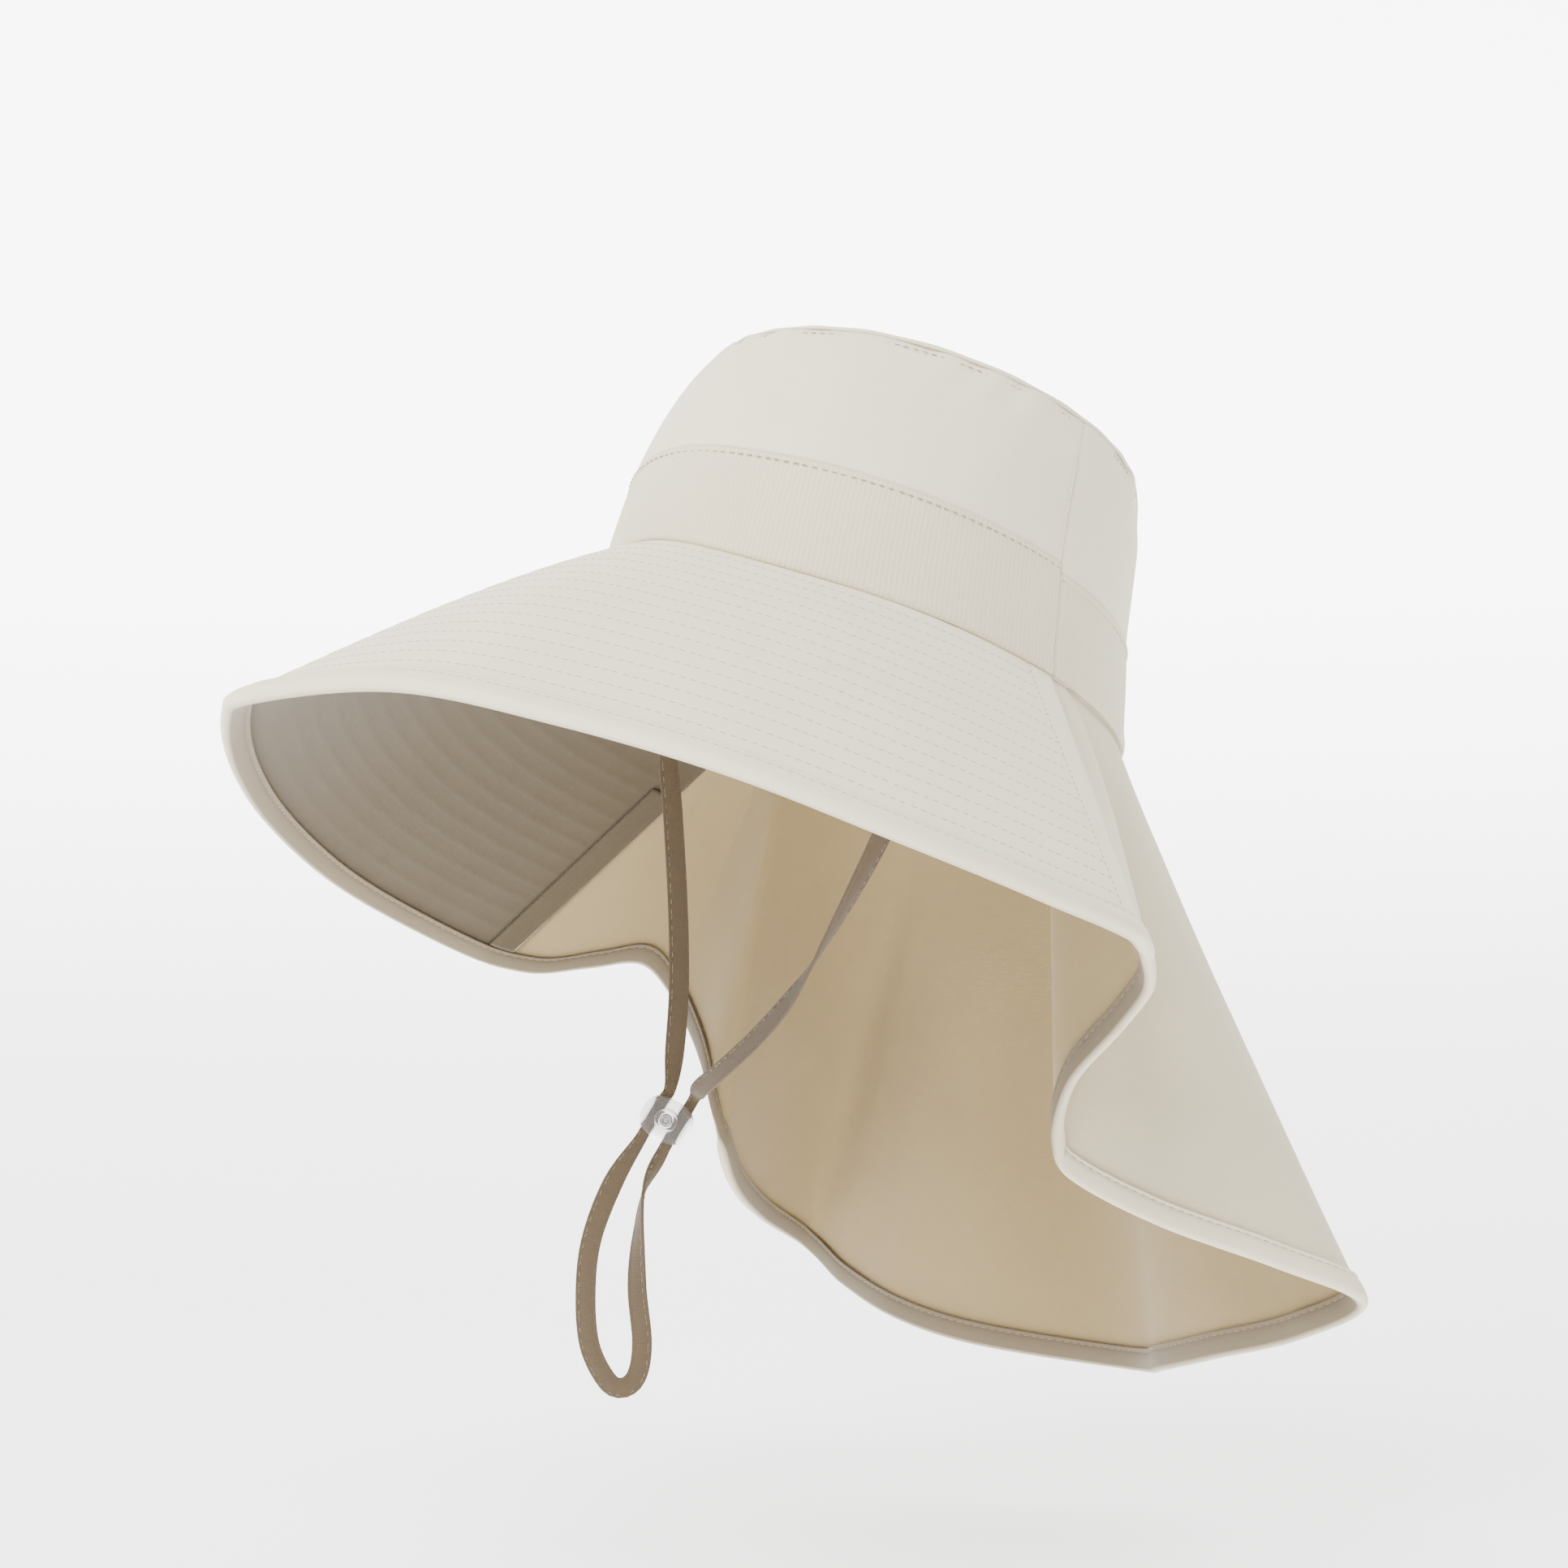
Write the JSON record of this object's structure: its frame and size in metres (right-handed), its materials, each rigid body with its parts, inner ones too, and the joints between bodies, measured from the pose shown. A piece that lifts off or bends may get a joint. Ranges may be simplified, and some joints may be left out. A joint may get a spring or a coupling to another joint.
{
  "type": "flap sun hat",
  "caption": "Cloth sun hat with a flat-topped crown, a stiff quilted front brim, a soft neck flap with inward folds and a flat chin strap through a clear slider.",
  "frame": {"origin": "centre of the head opening, where the crown's lower oval meets its axis", "axes": "+Z plumb up, -Y the way the wearer looks, +X the wearer's left; the crown leans back 18.3 degrees from +Z"},
  "size_m": [0.3698, 0.3734, 0.3778],
  "materials": {
    "cream_cotton": "matt woven cotton",
    "flap_cotton": "matt woven cotton, a single layer",
    "binding_cotton": "matt folded cotton binding",
    "tape_cotton": "matt folded cotton tape",
    "clear_plastic": "clear moulded plastic",
    "eyelet_metal": "small pressed eyelet"
  },
  "bodies": {
    "root": {"crown_tip": "cream_cotton", "crown_front": "cream_cotton", "crown_back": "cream_cotton", "band_front": "cream_cotton", "band_back": "cream_cotton", "brim": "cream_cotton", "neck_flap": "flap_cotton", "edge_binding": "binding_cotton", "seam_facing_left": "cream_cotton", "seam_facing_right": "cream_cotton", "chin_strap": "tape_cotton", "strap_slider": "clear_plastic", "slider_eyelet": "eyelet_metal"}
  },
  "joints": []
}
